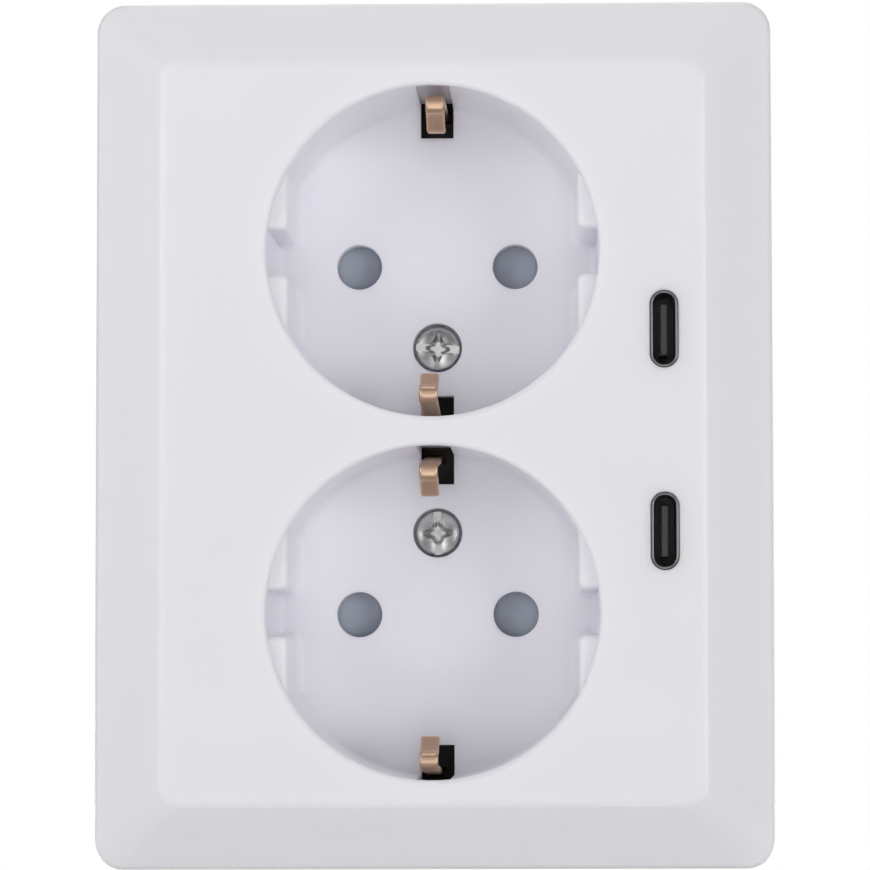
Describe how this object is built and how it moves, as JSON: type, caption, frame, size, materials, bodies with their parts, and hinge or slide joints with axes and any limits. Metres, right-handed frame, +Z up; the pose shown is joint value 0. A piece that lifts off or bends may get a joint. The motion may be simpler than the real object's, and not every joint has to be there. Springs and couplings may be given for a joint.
{
  "type": "usb wall socket",
  "caption": "White earthed wall socket: round plug recesses one above the other, upright USB-C ports beside them, and a rear housing for a flush wall box.",
  "frame": {"origin": "the middle of the cover on the wall plane, which is also the middle of the box screws", "axes": "+X to the right seen from the front, +Y into the wall, +Z up the wall"},
  "size_m": [0.08, 0.0415, 0.1024],
  "materials": {
    "white_plastic": "moulded, softly glossy polycarbonate",
    "grey_plastic": "moulded, matt thermoplastic",
    "shutter_plastic": "moulded, matt acetal",
    "galvanised_steel": "galvanised sheet",
    "zinc_steel": "zinc-plated",
    "spring_steel": "rolled strip",
    "brass": "stamped strip",
    "bronze": "rolled tin bronze strip",
    "usb_steel": "drawn, nickel-plated",
    "usb_plastic": "moulded, matt",
    "circuit_board": "solder mask",
    "ferrite": "sintered, matt",
    "winding_tape": "taped",
    "capacitor_sleeve": "shrink sleeve"
  },
  "bodies": {
    "socket": {"cover": "white_plastic", "cover_screws": "zinc_steel", "mounting_plate": "galvanised_steel", "plate_screws": "zinc_steel", "housing": "grey_plastic", "contact_cover": "grey_plastic", "contact_cover_screws": "zinc_steel", "upper_shutter_spring": "spring_steel", "lower_shutter_spring": "spring_steel", "live_strip": "brass", "neutral_strip": "brass", "earth_strap": "bronze", "upper_earth_stirrup": "bronze", "lower_earth_stirrup": "bronze", "earth_rivets": "brass", "live_terminal": "brass", "earth_terminal": "brass", "neutral_terminal": "brass", "terminal_screws": "zinc_steel", "upper_usb_shell": "usb_steel", "lower_usb_shell": "usb_steel", "upper_usb_tongue": "usb_plastic", "lower_usb_tongue": "usb_plastic", "usb_port_board": "circuit_board", "usb_power_board": "circuit_board", "transformer_core": "ferrite", "transformer_winding": "winding_tape", "power_capacitors": "capacitor_sleeve", "board_link": "usb_plastic"},
    "upper_shutter_rotor": {"upper_shutter": "shutter_plastic"},
    "lower_shutter_rotor": {"lower_shutter": "shutter_plastic"}
  },
  "joints": [
    {"name": "upper_shutter_turn", "type": "hinge", "parent": "socket", "child": "upper_shutter_rotor", "pos_m": [0, 0.01165, 0.02118], "axis": [0, -1, 0], "range_deg": [0, 38], "stiffness_Nm_per_rad": 0.002, "springref_deg": -20.05, "deforming": ["upper_shutter_spring"]},
    {"name": "lower_shutter_turn", "type": "hinge", "parent": "socket", "child": "lower_shutter_rotor", "pos_m": [0, 0.01165, -0.02118], "axis": [0, -1, 0], "range_deg": [0, 38], "stiffness_Nm_per_rad": 0.002, "springref_deg": -20.05, "deforming": ["lower_shutter_spring"]}
  ]
}
